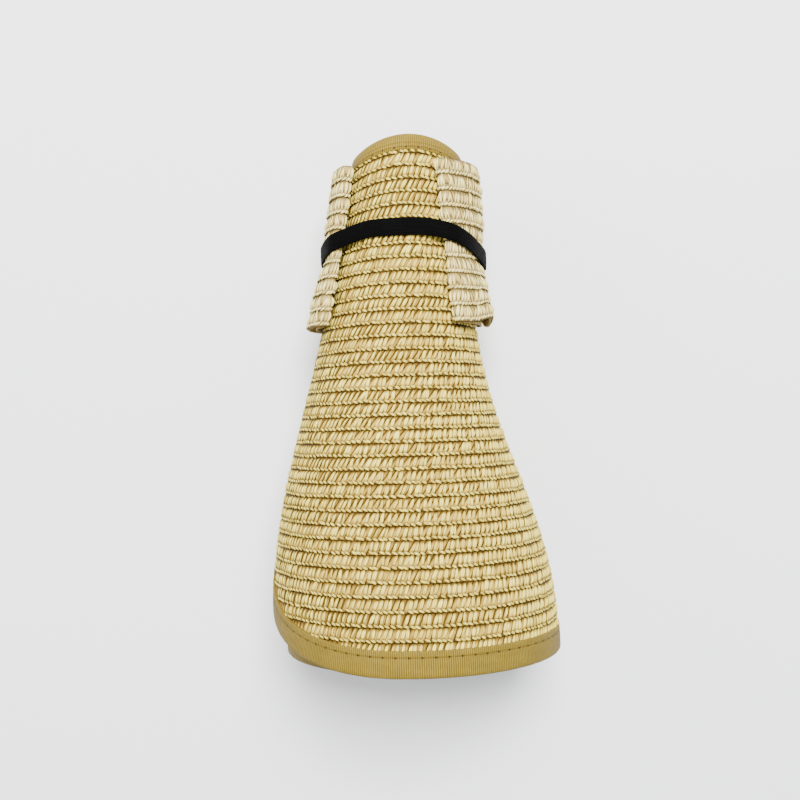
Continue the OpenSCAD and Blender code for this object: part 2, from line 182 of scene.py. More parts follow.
def shell(outer, inner, flip=False):
    """Points and faces of a closed sheet: two grids of the same size, joined all round their edges."""
    rows, cols = outer.shape[:2]
    n = rows * cols
    index = np.arange(n).reshape(rows, cols)
    edge = np.concatenate([index[0, :-1], index[:-1, -1], index[-1, :0:-1], index[:0:-1, 0]])
    after = np.roll(edge, -1)
    side = np.stack([after, edge, edge + n, after + n], -1)
    faces = np.concatenate([grid_faces(rows, cols), grid_faces(rows, cols, n, True), side])
    points = np.concatenate([outer.reshape(-1, 3), inner.reshape(-1, 3)])
    return points, faces[:, ::-1] if flip else faces


slant_s = np.linspace(-3, BRIM_LONG + 3, 1500)
slant_u = np.concatenate([[0], np.cumsum(np.hypot(np.diff(slant_s), np.diff(roll_r(slant_s))))])
slant_u -= np.interp(0, slant_s, slant_u)


def down_slant(u):
    """How far along the middle line a point is that lies u down the sloping side from the head edge."""
    return np.interp(u, slant_u, slant_s)


def shrink(turn):
    """The part of a rounded corner that is left at this turn: 1 at the sheet's end, 0 past the corner."""
    out = np.degrees(CORNER_RUN / RIM_R)
    back = np.degrees(CORNER_RUN / (RIM_R - RIM_PITCH * TURNS))
    return np.clip(np.where(turn < out, (out - turn) / out, (turn - 360 * TURNS + back) / back), 0, 1)


def outer_edge(turn):
    """Where the sheet's outer edge is at this turn: the rim, with a quarter of an ellipse at each end."""
    return BRIM_LONG - CORNER_RISE + CORNER_RISE * np.sqrt(1 - shrink(turn) ** 2)


def math(tree, kind, a, b=None, clamp=False):
    """A Math node on a and b, each a socket or a number; gives its output socket."""
    node = tree.nodes.new("ShaderNodeMath")
    node.operation, node.use_clamp = kind, clamp
    for slot_in, value in zip(node.inputs, (a, b)):
        if value is None:
            continue
        if isinstance(value, (int, float)):
            slot_in.default_value = value
        else:
            tree.links.new(value, slot_in)
    return node.outputs[0]


def ramp(tree, factor, stops):
    """A colour ramp over the factor, with stops of (position, colour)."""
    node = tree.nodes.new("ShaderNodeValToRGB")
    marks = node.color_ramp.elements
    while len(marks) < len(stops):
        marks.new(0.5)
    for mark, (at, colour) in zip(marks, stops):
        mark.position, mark.color = at, (*colour, 1)
    tree.links.new(factor, node.inputs["Fac"])
    return node.outputs["Color"]


def mixed(tree, kind, factor, a, b):
    """A colour Mix node; a and b are sockets or colours."""
    node = tree.nodes.new("ShaderNodeMix")
    node.data_type, node.blend_type = "RGBA", kind
    for slot_in, value in ((node.inputs[0], factor), (node.inputs[6], a), (node.inputs[7], b)):
        if isinstance(value, (int, float)):
            slot_in.default_value = value
        elif isinstance(value, tuple):
            slot_in.default_value = (*value, 1)
        else:
            tree.links.new(value, slot_in)
    return node.outputs[2]


def noise(tree, where, scale, detail=2.0, rough=0.5):
    """A noise over the given coordinates."""
    node = tree.nodes.new("ShaderNodeTexNoise")
    node.inputs["Scale"].default_value = scale
    node.inputs["Detail"].default_value = detail
    node.inputs["Roughness"].default_value = rough
    tree.links.new(where, node.inputs["Vector"])
    return node.outputs["Fac"]


def stretched(tree, where, scale):
    """Coordinates scaled by three numbers, so that a pattern on them is drawn out."""
    node = tree.nodes.new("ShaderNodeMapping")
    node.inputs["Scale"].default_value = scale
    tree.links.new(where, node.inputs["Vector"])
    return node.outputs["Vector"]


def bumped(tree, shader, height, distance):
    """Raises the shader's surface by height times distance, in metres."""
    node = tree.nodes.new("ShaderNodeBump")
    node.inputs["Strength"].default_value = 1.0
    node.inputs["Distance"].default_value = distance
    tree.links.new(height, node.inputs["Height"])
    tree.links.new(node.outputs["Normal"], shader.inputs["Normal"])


def read(tree, word):
    """The number that the mesh holds under that name."""
    node = tree.nodes.new("ShaderNodeAttribute")
    node.attribute_name = word
    return node.outputs["Fac"]


def straw_finish(name, dark, middle, light, gap):
    """Paper straw: each leaf has its own tone and fine fibres along it, with painted shade at its ends and sides where
    it dives, and in the clefts along its edges and middle.
    """
    made, tree, shader = finish_named(name, 0.58)
    where = tree.nodes.new("ShaderNodeTexCoord")
    fibre = noise(tree, stretched(tree, where.outputs["UV"], (7, 0.8, 1)), 1.0, 3.0, 0.6)
    drift = noise(tree, where.outputs["Object"], 35.0, 2.0)
    own_tone = math(tree, "MULTIPLY", read(tree, "tone"), 0.62)
    tone = math(tree, "ADD", own_tone, math(tree, "MULTIPLY", fibre, 0.30))
    tone = math(tree, "ADD", tone, math(tree, "MULTIPLY", drift, 0.22), True)
    straw = ramp(tree, tone, ((0.22, dark), (0.52, middle), (0.84, light)))
    # foot fades the colour to gap, a painted shade colour, at the leaf's ends and sides, where it dives under its
    # neighbours.
    foot = math(tree, "POWER", read(tree, "out_of_painted_shade"), 1.2, True)
    parts = tree.nodes.new("ShaderNodeSeparateXYZ")
    tree.links.new(where.outputs["UV"], parts.inputs[0])
    half_leaf = math(tree, "FRACT", math(tree, "MULTIPLY", parts.outputs["X"], 2.0))
    beside = math(tree, "ABSOLUTE", math(tree, "SUBTRACT", half_leaf, 0.5))
    strand = math(tree, "MULTIPLY", math(tree, "SUBTRACT", 0.5, beside), 7.0, True)
    # Painted shade: the colour is darkened in the clefts along each leaf's edges and down its middle, between its two
    # strands.
    painted_cleft_shade = math(tree, "MULTIPLY", math(tree, "SUBTRACT", 1.0, strand), 0.8)
    straw = mixed(tree, "MULTIPLY", painted_cleft_shade, straw, (0.35, 0.24, 0.12))
    tree.links.new(mixed(tree, "MIX", foot, gap, straw), shader.inputs["Base Color"])
    bumped(tree, shader, math(tree, "ADD", fibre, strand), 0.00014)
    shader.inputs["Specular IOR Level"].default_value = 0.08
    return made


# The last colour is the painted shade at the leaves' ends and sides.
straw = straw_finish("straw", (0.22, 0.145, 0.022), (0.66, 0.485, 0.075), (1.0, 0.84, 0.16), (0.048, 0.031, 0.011))

# The braid on the sheet itself, seen between the leaves and on the inner turns: its colour is painted shade, near
# black low between the crowns of leaves and rows and lighter on them, with some random tone.
braid_back, back_tree, back_shader = finish_named("straw_back", 0.65)
back_uv = back_tree.nodes.new("ShaderNodeUVMap").outputs["UV"]
split = back_tree.nodes.new("ShaderNodeSeparateXYZ")
back_tree.links.new(back_uv, split.inputs[0])
up_row = math(back_tree, "FRACT", split.outputs["Y"])
slanted = math(back_tree, "ADD", split.outputs["X"], math(back_tree, "MULTIPLY", up_row, 0.7))
one_leaf = math(back_tree, "FRACT", slanted)
leaf_crown = math(back_tree, "SINE", math(back_tree, "MULTIPLY", one_leaf, np.pi))
row_crown = math(back_tree, "SINE", math(back_tree, "MULTIPLY", up_row, np.pi))
back_high = math(back_tree, "POWER", math(back_tree, "MULTIPLY", leaf_crown, row_crown), 0.5, True)
back_shade_tone = math(back_tree, "MULTIPLY", back_high,
                 math(back_tree, "ADD", noise(back_tree, back_uv, 1.3, 2.0), 0.35), True)
back_colour = ramp(back_tree, back_shade_tone, ((0.1, (0.014, 0.007, 0.0012)), (0.5, (0.15, 0.085, 0.012)),
                                          (0.95, (0.46, 0.30, 0.05))))
back_tree.links.new(back_colour, back_shader.inputs["Base Color"])
bumped(back_tree, back_shader, back_high, 0.0005)
back_shader.inputs["Specular IOR Level"].default_value = 0.05

LEAF, ROW, FIRST_ROW, MOST_IN_ROW = 1.6, 3.9, 5.4, 900
RIM_RIBBON = 7.2
base_turns = np.concatenate([np.arange(0, 90, 1.5), np.arange(90, 360 * TURNS - 240, 4.0),
                             np.linspace(360 * TURNS - 240, 360 * TURNS, 121)])[None]
base_part = np.linspace(0, 1, 31)[:, None]
base_s = base_part * outer_edge(base_turns)
base_out, base_in = on_sheet(base_s, base_turns, 0.1), on_sheet(base_s, base_turns, -0.42)
brim_points, brim_faces = shell(base_out, base_in)
arc = np.radians(base_turns) * (roll_r(base_s) - turn_pitch(base_s) * base_turns / 720)
down = np.interp(base_s, slant_s, slant_u)
brim_uv = np.stack([arc / LEAF, (down - FIRST_ROW) / ROW], -1).reshape(-1, 2)
brim = piece("brim_sheet_straw", brim_points, brim_faces, np.concatenate([brim_uv, brim_uv]), braid_back)
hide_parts("brim_sheet")

luck = np.random.default_rng(11)


def straw_leaves(name, place, x, y, dx, dy, wide, high, foot, skew, finish, along=5, over=4, flip=False):
    """A bed of straw leaves. At p from 0 to 1 along one, its middle is at (x, y) + p (dx, dy) of its own row;
    at q from -1 to 1 across, it lies q wide sqrt(sin) to the side and foot + high sin(pi p) (1 - q q) + skew q up.
    place turns the leaf's own numbers, the steps along and up its row and its height into points."""
    count = len(x)
    p = np.linspace(0.04, 0.96, along)[None, :, None]
    q = np.linspace(-1, 1, over)[None, None, :]
    own = [np.broadcast_to(np.asarray(v, float), (count,))[:, None, None] for v in (dx, dy, wide, high, foot, skew)]
    dx, dy, wide, high, foot, skew = own
    long = np.hypot(dx, dy)
    half = wide / 2 * np.sin(np.pi * (0.1 + 0.8 * p)) ** 0.5 * q
    step_x = dx * p + half * dy / long
    step_y = dy * p - half * dx / long
    crown = np.sin(np.pi * p) ** 0.7 * (1 - 0.85 * q * q)
    up = foot + high * crown + skew * q
    points = place(x[:, None, None], y[:, None, None], step_x, step_y, up)
    cell = grid_faces(along, over)
    faces = (cell[None] + (np.arange(count) * along * over)[:, None, None]).reshape(-1, 4)
    if flip:
        faces = faces[:, ::-1]
    mark = luck.random(count)[:, None, None]
    uv = np.stack(np.broadcast_arrays(q * 0.5 + np.floor(40 * mark), p + 0 * q + 17 * mark), -1).reshape(-1, 2)
    tone = np.broadcast_to(np.clip(luck.normal(0.60, 0.12, count), 0, 1)[:, None, None], up.shape)
    # How far each point lies out of the painted shade: 0 at the leaf's ends and sides, 1 over its middle; the finish
    # darkens towards 0.
    out_of_painted_shade = np.clip(1.3 * np.sin(np.pi * p) ** 0.6 * (1 - 0.97 * q * q), 0, 1) + 0 * up
    return piece(name, points.reshape(-1, 3), faces, uv, finish, tone=tone.ravel(), out_of_painted_shade=out_of_painted_shade.ravel())


def brim_place(turn, u, step_x, step_y, up):
    """Steps on the outside of the sheet, from a leaf at turn degrees and u down the slope, as points."""
    s = down_slant(u - step_y)
    return on_sheet(s, turn + np.degrees(step_x / sheet_r(s, turn)), up)


def row_turns(u, first, last, gap):
    """The turns of the leaves in rows at u down the slope, gap apart along the spiral, from first to last."""
    s = down_slant(u)
    k, b = turn_pitch(s)[:, None] / 720, roll_r(s)[:, None]
    begin = np.radians(first) * (b - k * first)
    run = begin + (np.arange(MOST_IN_ROW)[None] + luck.random((len(u), 1))) * gap
    turn = (b - np.sqrt(np.clip(b * b - 4 * k * np.degrees(run), 0, None))) / (2 * k)
    keep = (turn > first) & (turn < last)
    return turn, keep


def uneven(count, mean, share):
    """Numbers round a mean: each is off by a normal spread of that share of it, at most two spreads."""
    return mean * (1 + share * luck.standard_normal(count).clip(-2, 2))


def braid_rows(name, rows, first, last, only):
    """Rows of braid: on each, tall leaves that lean one way over a cord of short leaves that lean the other way.
    only says which leaves there are, by their turn and how far down the slope they reach."""
    u = FIRST_ROW + ROW * np.asarray(rows, float)
    turn, keep = row_turns(u, first, last, LEAF)
    low = np.broadcast_to(u[:, None] + ROW, turn.shape)
    keep = keep & only(turn, low)
    turn, low = turn[keep], low[keep]
    n = len(turn)
    wander = np.radians(turn) * 9
    low = low + 0.10 * np.sin(wander + low) + 0.05 * luck.standard_normal(n)
    far = sheet_r(down_slant(low), turn)
    turn = turn + np.degrees(0.20 * luck.standard_normal(n).clip(-2, 2) / far)
    leaves = straw_leaves(name + "_leaves", brim_place, turn, low - 0.80, uneven(n, 1.05, 0.32),
                          uneven(n, 2.95, 0.03), uneven(n, 1.18, 0.2), uneven(n, 0.60, 0.22), -0.02,
                          uneven(n, 0.10, 0.8), straw)
    cord = straw_leaves(name + "_cord", brim_place, turn - np.degrees(0.5 / far), low - 0.86,
                        uneven(n, 1.65, 0.08), uneven(n, -0.74, 0.10), uneven(n, 0.80, 0.10),
                        uneven(n, 0.44, 0.12), 0.20, uneven(n, -0.06, 0.4), straw)
    return [leaves, cord]


def inside_ribbon(turn, low):
    """Leaves that the rim's ribbon doesn't cover, on the free end, the corners and the rim."""
    edge = np.interp(outer_edge(turn), slant_s, slant_u)
    across = np.radians(turn) * sheet_r(down_slant(low), turn)
    on_corner = np.clip(1 - across / CORNER_RUN, 0, 1) * CORNER_RUN / CORNER_RISE * 0.62
    return (low < edge - RIM_RIBBON * (1 + on_corner) + 5.4) & (across > RIM_RIBBON - 1.6)


def below_flap(turn, low):
    """Leaves of the second turn, which shows under the rounded corner of the first."""
    rim, corner = (np.interp(s, slant_s, slant_u) for s in (BRIM_LONG, outer_edge(turn - 360)))
    return (low < rim - 1.8) & (low > corner - 6)


brim_braid = braid_rows("brim_wide", range(25, 39), 0, 368, only=inside_ribbon)
brim_braid += braid_rows("brim_middle", range(12, 25), 0, 368, only=inside_ribbon)
brim_braid += braid_rows("brim_neck", range(-1, 12), 0, 368, only=inside_ribbon)
brim_braid += braid_rows("brim_under_flap", range(26, 39), 368, 475, only=below_flap)

# ---- The ribbon on the rim and the free ends
# Grosgrain ribbon, folded over the sheet's edge and sewn down with one row of straight stitches.
# It eases round the two rounded corners in small tucks.

RIBBON_FROM = 3.0


def edge_path(step):
    """The sheet's edge as even_path gives it: from the head down the free end, round a quarter of an ellipse at
    the corner, along the rim, and back up the other end in the same way."""
    out = np.degrees(CORNER_RUN / RIM_R)
    back = np.degrees(CORNER_RUN / (RIM_R - RIM_PITCH * TURNS))
    bend = np.linspace(0, np.pi / 2, 60)
    s = np.concatenate([np.linspace(RIBBON_FROM, BRIM_LONG - CORNER_RISE, 80)[:-1],
                        BRIM_LONG - CORNER_RISE + CORNER_RISE * np.sin(bend),
                        np.full(400, BRIM_LONG),
                        BRIM_LONG - CORNER_RISE + CORNER_RISE * np.cos(bend),
                        np.linspace(BRIM_LONG - CORNER_RISE, RIBBON_FROM, 80)[1:]])
    turn = np.concatenate([np.zeros(79), out * (1 - np.cos(bend)),
                           np.linspace(out, 360 * TURNS - back, 402)[1:-1],
                           360 * TURNS - back * (1 - np.sin(bend)), np.full(79, 360.0 * TURNS)])
    return even_path(s, turn, step)


def even_path(s, turn, step):
    """The same path with points evenly spaced on the sheet, its length, and the way in from the edge."""
    wide = np.radians(np.diff(turn)) * sheet_r((s[1:] + s[:-1]) / 2, (turn[1:] + turn[:-1]) / 2)
    run = np.concatenate([[0], np.cumsum(np.hypot(wide, np.diff(s) * 1.02))])
    at = np.linspace(0, run[-1], int(run[-1] / step))
    s, turn = np.interp(at, run, s), np.interp(at, run, turn)
    around = np.radians(np.gradient(turn)) * sheet_r(s, turn)
    along = np.gradient(s)
    long = np.hypot(around, along) + 1e-9
    return s, turn, at, along / long, -around / long


def bound_edge(name, path, profile, finish, pucker=0.0):
    """A ribbon carried along a path on the sheet: profile is (in from the edge, off the sheet's middle) pairs,
    and pucker is how high the tucks at the corners stand."""
    s, turn, at, in_x, in_s = path
    inset, lift = np.array(profile).T
    tuck = np.exp(-((at - CORNER_TUCKS[:, None]) / 16) ** 2).sum(0) if pucker else 0 * at
    ripple = 0.05 * np.sin(at * 0.9 + 2 * np.sin(at * 0.23)) * (pucker > 0)
    raised = (ripple + pucker * tuck * np.abs(np.sin(at * 0.75)) ** 3)[:, None]
    swell = raised * np.sign(lift)[None] * (np.clip(inset, 0, 7) / 7)[None]
    where_s = s[:, None] + in_s[:, None] * inset[None]
    where_turn = turn[:, None] + np.degrees(in_x[:, None] * inset[None] / sheet_r(s, turn)[:, None])
    points = on_sheet(np.clip(where_s, -0.6, None), where_turn, lift[None] + swell)
    rows, cols = points.shape[:2]
    index = np.arange(rows * cols).reshape(rows, cols)
    ring = np.concatenate([index, index[:, :1]], 1)
    faces = np.stack([ring[:-1, :-1], ring[:-1, 1:], ring[1:, 1:], ring[1:, :-1]], -1).reshape(-1, 4)
    girth = np.concatenate([[0], np.cumsum(np.hypot(np.diff(inset), np.diff(lift)))])
    uv = np.stack(np.broadcast_arrays(at[:, None], girth[None]), -1).reshape(-1, 2)
    return piece(name, points.reshape(-1, 3), faces, uv, finish)


def ribbon_finish(name, dark, light, stitch_at, stitch_gap, crease_at=None):
    """Grosgrain: fine ribs across the ribbon, a sewn line with needle holes, and a soft crease. Shade is painted in
    the grooves between the ribs, along the sewn line, in the needle holes and along the crease.
    """
    made, tree, shader = finish_named(name, 0.62)
    where = tree.nodes.new("ShaderNodeUVMap").outputs["UV"]
    parts = tree.nodes.new("ShaderNodeSeparateXYZ")
    tree.links.new(where, parts.inputs[0])
    run, across = parts.outputs["X"], parts.outputs["Y"]
    rib = math(tree, "MULTIPLY_ADD", math(tree, "SINE", math(tree, "MULTIPLY", run, 2 * np.pi / 0.6)), 0.5)
    rib.node.inputs[2].default_value = 0.5
    cloth = noise(tree, stretched(tree, where, (1.0, 0.35, 1)), 2.2, 3.0, 0.6)
    fine = noise(tree, stretched(tree, where, (0.12, 0.5, 1)), 1.0, 2.0)
    # The ribs' grooves are darker: painted shade between the ribs, which the bump also sinks.
    tone = math(tree, "ADD", math(tree, "MULTIPLY", rib, 0.46), math(tree, "MULTIPLY", cloth, 0.38))
    tone = math(tree, "ADD", tone, math(tree, "MULTIPLY", fine, 0.25), True)
    colour = ramp(tree, tone, ((0.2, dark), (0.85, light)))
    off_line = math(tree, "ABSOLUTE", math(tree, "SUBTRACT", across, stitch_at))
    line = math(tree, "SUBTRACT", 1.0, math(tree, "MULTIPLY", off_line, 2.6), True)
    one_stitch = math(tree, "FRACT", math(tree, "DIVIDE", run, stitch_gap))
    beat = math(tree, "ABSOLUTE", math(tree, "SUBTRACT", one_stitch, 0.5))
    off_hole = math(tree, "ADD", math(tree, "MULTIPLY", beat, stitch_gap), off_line)
    needle_hole_shade = math(tree, "SUBTRACT", 1.45, math(tree, "MULTIPLY", off_hole, 3.0), True)
    # Painted shade: the colour is darkened along the sunken sewn line, and nearly black in the needle holes.
    colour = mixed(tree, "MULTIPLY", math(tree, "MULTIPLY", line, 0.6), colour, (0.45, 0.36, 0.2))
    colour = mixed(tree, "MIX", needle_hole_shade, colour, (0.022, 0.012, 0.003))
    sunk = math(tree, "ADD", math(tree, "MULTIPLY", line, 0.8), needle_hole_shade)
    high = math(tree, "SUBTRACT", math(tree, "MULTIPLY", rib, 0.5), sunk)
    if crease_at is not None:
        # Painted shade along the soft crease, which the bump also sinks.
        off_crease = math(tree, "ABSOLUTE", math(tree, "SUBTRACT", across, crease_at))
        crease = math(tree, "SUBTRACT", 1.0, math(tree, "MULTIPLY", off_crease, 3.2), True)
        colour = mixed(tree, "MULTIPLY", math(tree, "MULTIPLY", crease, 0.5), colour, (0.55, 0.47, 0.33))
        high = math(tree, "SUBTRACT", high, math(tree, "MULTIPLY", crease, 0.7))
    tree.links.new(colour, shader.inputs["Base Color"])
    bumped(tree, shader, high, 0.00016)
    shader.inputs["Specular IOR Level"].default_value = 0.12
    return made


rim_path = edge_path(1.3)
corner_len = BRIM_LONG - CORNER_RISE - RIBBON_FROM + 0.5 * np.hypot(CORNER_RUN, CORNER_RISE)
CORNER_TUCKS = np.array([corner_len, rim_path[2][-1] - corner_len])
rim_profile = [(7.2, 0.42), (7.15, 0.72), (6.6, 0.80), (5.4, 0.74), (4.2, 0.82), (2.6, 0.82), (1.0, 0.82),
               (0.15, 0.74), (-0.28, 0.4), (-0.36, 0.0), (-0.28, -0.4), (0.15, -0.74), (1.0, -0.82),
               (3.6, -0.80), (6.6, -0.78), (7.15, -0.7), (7.2, -0.42)]
rim_ribbon = ribbon_finish("rim_ribbon", (0.045, 0.028, 0.0018), (0.215, 0.148, 0.0165), 2.15, 3.6)
rim_binding = bound_edge("rim_binding_ribbon", rim_path, rim_profile, rim_ribbon, 0.32)
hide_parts("rim_binding")

# ---- The ribbon on the head edge
# A grosgrain ribbon, folded over the edge that sits on the head, with a soft crease along its middle.
# It is sewn down with one row of straight stitches.

head_turns = np.linspace(0, 360.0 * TURNS, 700)[::-1]
head_path = even_path(np.zeros(700), head_turns, 0.9)
head_profile = [(4.5, 0.42), (4.45, 0.70), (4.1, 0.78), (3.4, 0.74), (2.8, 0.80), (1.0, 0.80), (0.12, 0.70),
                (-0.26, 0.36), (-0.34, 0.0), (-0.26, -0.36), (0.12, -0.70), (1.0, -0.78), (5.5, -0.76),
                (5.95, -0.68), (6.0, -0.42)]
head_ribbon = ribbon_finish("head_ribbon", (0.060, 0.038, 0.0028), (0.245, 0.167, 0.0175), 0.9, 3.3, 2.2)
head_binding = bound_edge("head_binding_ribbon", head_path, head_profile, head_ribbon)
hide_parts("head_binding")

# ---- The stitches in the ribbons
# Straight machine stitches in cotton thread that matches the ribbon.
# They go through both sides of the ribbon and the sheet, and are pulled a little way in.

cotton, cotton_tree, cotton_shader = finish_named("cotton_thread", 0.6)
cotton_where = cotton_tree.nodes.new("ShaderNodeTexCoord").outputs["UV"]
twist = noise(cotton_tree, stretched(cotton_tree, cotton_where, (3, 6, 1)), 2.0, 2.0)
cotton_colour = ramp(cotton_tree, twist, ((0.2, (0.05, 0.03, 0.002)), (0.8, (0.17, 0.112, 0.012))))
cotton_tree.links.new(cotton_colour, cotton_shader.inputs["Base Color"])
bumped(cotton_tree, cotton_shader, twist, 0.00008)
cotton_shader.inputs["Specular IOR Level"].default_value = 0.1


def stitch_row(name, path, inset, gap, lift, replaced):
    """Stitches along a path, each a low rounded dash: its sides fall off as 1 - q q and its ends as a sine."""
    s, turn, at, in_x, in_s = path
    begin = np.arange(1.5 * gap, at[-1] - gap, gap)
    p, q = np.linspace(0, 1, 6)[None, :, None], np.linspace(-1, 1, 4)[None, None, :]
    run = begin[:, None, None] + gap * (0.17 + 0.66 * p)
    here = [np.interp(run, at, v) for v in (s, turn, in_x, in_s)]
    inward = inset + 0.15 * q
    where_s = here[0] + here[3] * inward
    where_turn = here[1] + np.degrees(here[2] * inward / sheet_r(here[0], here[1]))
    up = lift + 0.13 * np.sin(np.pi * p) ** 0.5 * (1 - q * q)
    points = on_sheet(where_s, where_turn, up)
    n = len(points)
    faces = (grid_faces(6, 4)[None] + (np.arange(n) * 24)[:, None, None]).reshape(-1, 4)[:, ::-1]
    uv = np.stack(np.broadcast_arrays(q * 0.3 + 0 * run, p * 3 + run), -1).reshape(-1, 2)
    made = piece(name, points.reshape(-1, 3), faces, uv, cotton)
    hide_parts(replaced)
    return made


rim_stitches = stitch_row("rim_stitches", rim_path, 5.4, 3.6, 0.74, "rim_seam")
head_stitches = stitch_row("head_stitches", head_path, 3.5, 3.3, 0.70, "head_seam")

# ---- The closure tabs
# A tab of hooks and a tab of loops, woven tape that closes the visor behind the head.
# They are sewn near the head edge on the two ends, inside the roll.

for node, coarse in (("hook_tab", 2600.0), ("loop_tab", 1500.0)):
    tape, tape_tree, tape_shader = finish_named(node + "_tape", 0.8)
    tape_where = tape_tree.nodes.new("ShaderNodeTexCoord").outputs["Object"]
    nap = noise(tape_tree, tape_where, coarse, 3.0, 0.7)
    tape_colour = ramp(tape_tree, nap, ((0.3, (0.24, 0.19, 0.11)), (0.7, (0.42, 0.35, 0.22))))
    tape_tree.links.new(tape_colour, tape_shader.inputs["Base Color"])
    bumped(tape_tree, tape_shader, nap, 0.0003)
    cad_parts[node].data.materials.clear()
    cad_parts[node].data.materials.append(tape)

# ---- The bow's loops
# A strip of paler, coarser straw braid, ten rows wide, gathered at the knot and folded back on itself
# on each side, so that each loop is two plies with a hollow between.

KNOT_AZ, LOOP_ANGLE, LOOP_HIGH, PLY, FOLD_LEAN = 168.0, 136.0, 4.0, 1.3, 0.048
BOW_WIDE, BOW_MID, GATHER, KNOT_HALF, WRAP, BOW_GAP = 48.0, 31.5, 13.0, 24.0, 1.2, 0.4
KNOT_TURN = KNOT_AZ - FREE_END
FREE_A, PAST_KNOT = 360 - KNOT_TURN, KNOT_HALF * 1.3


def ease(a, b, x):
    """0 before a, 1 after b, and a smooth S between them."""
    t = np.clip((x - a) / (b - a), 0, 1)
    return t * t * (3 - 2 * t)


def bow_floor(s, side, a):
    """The radius that the lower ply lies at, a degrees from the knot: over the wrap, then on the brim."""
    over_end = ease(PAST_KNOT, FREE_A - KNOT_HALF / 2, a)
    under = (KNOT_TURN - a * ease(PAST_KNOT, 2 * KNOT_HALF, a)) / 360 if side > 0 else KNOT_TURN / 360 * (1 - over_end)
    lift = 0 if side > 0 else (seam_low - STRAW_HALF) * over_end
    on_wrap = WRAP * (1 - ease(PAST_KNOT, 2 * KNOT_HALF, a))
    return roll_r(s) - turn_pitch(s) * under + STRAW_HALF + BOW_GAP + on_wrap + lift


def bow_half_wide(a):
    """Half the strip's width, which opens out from the gather to the whole strip."""
    return (GATHER + (BOW_WIDE - GATHER) * ease(PAST_KNOT, 3 * KNOT_HALF, a)) / 2


def bow_half_high(a):
    """Half the height of the loop, over both plies."""
    shut = 2 * PLY + 0.2
    return (shut + (LOOP_HIGH - shut) * ease(PAST_KNOT, 2 * KNOT_HALF, a)) / 2


TIP = np.degrees(LOOP_HIGH / 2 / (roll_r(BOW_MID) + LOOP_HIGH / 2))
BAND_S = 34.5


def on_bow(side, a, v, bend, up):
    """A point up off the loop's outside: a is degrees from the knot, v -1 to 1 across the strip,
    bend 0 on the upper ply, 90 at the fold and 180 on the lower ply."""
    half = bow_half_high(a)
    upper = (1 + np.cos(np.radians(bend))) / 2
    arch = ease(0.3, 1.0, v) * np.exp(-((a - 101) / 13) ** 2) * upper * (side > 0)
    s = BOW_MID + v * bow_half_wide(a) - 1.7 * arch
    low = bow_floor(s, side, a)
    pressed = np.exp(-((s - BAND_S) / 5.5) ** 2) * ease(50, 100, a)
    nip, up = 0.36 * pressed, up * (1 - 0.4 * pressed)
    lobe = half * (1 - nip) + up
    r = low + half * (1 - nip) + lobe * np.cos(np.radians(bend))
    reach = a * (1 - FOLD_LEAN * (v - 0.1) * ease(50, 110, a) * (side > 0))
    turn = reach + np.degrees(lobe * np.sin(np.radians(bend)) / (low + half))
    mouth = 1.5 * arch
    y = BRIM_LONG - s
    sway_off = np.cos(2 * np.pi * (BRIM_LONG - BOW_MID) / BRIM_LONG) - np.cos(2 * np.pi * y / BRIM_LONG)
    straight = (1 - ease(PAST_KNOT, 2 * KNOT_HALF, a)) * SWAY * sway_off
    p = polar(r + mouth, KNOT_AZ - side * turn, y)
    return on_table(p + np.stack([straight, 0 * straight, 0 * straight], -1))


# The last colour is the painted shade at the leaves' ends and sides.
pale_straw = straw_finish("pale_straw", (0.36, 0.27, 0.09), (0.84, 0.67, 0.215), (1.0, 0.91, 0.37),
                          (0.17, 0.120, 0.045))
BOW_ROWS, BOW_LEAF, MOST_IN_BOW_ROW = 10, 1.18, 140
bow_run = np.concatenate([np.linspace(2, LOOP_ANGLE - TIP, 56), np.full(9, LOOP_ANGLE - TIP)[1:-1],
                          np.linspace(LOOP_ANGLE - TIP, 2, 56)])
bow_bend = np.concatenate([np.zeros(56), np.linspace(0, 180, 9)[1:-1], np.full(56, 180.0)])
bow_v = np.linspace(-1, 1, 61)[:, None]


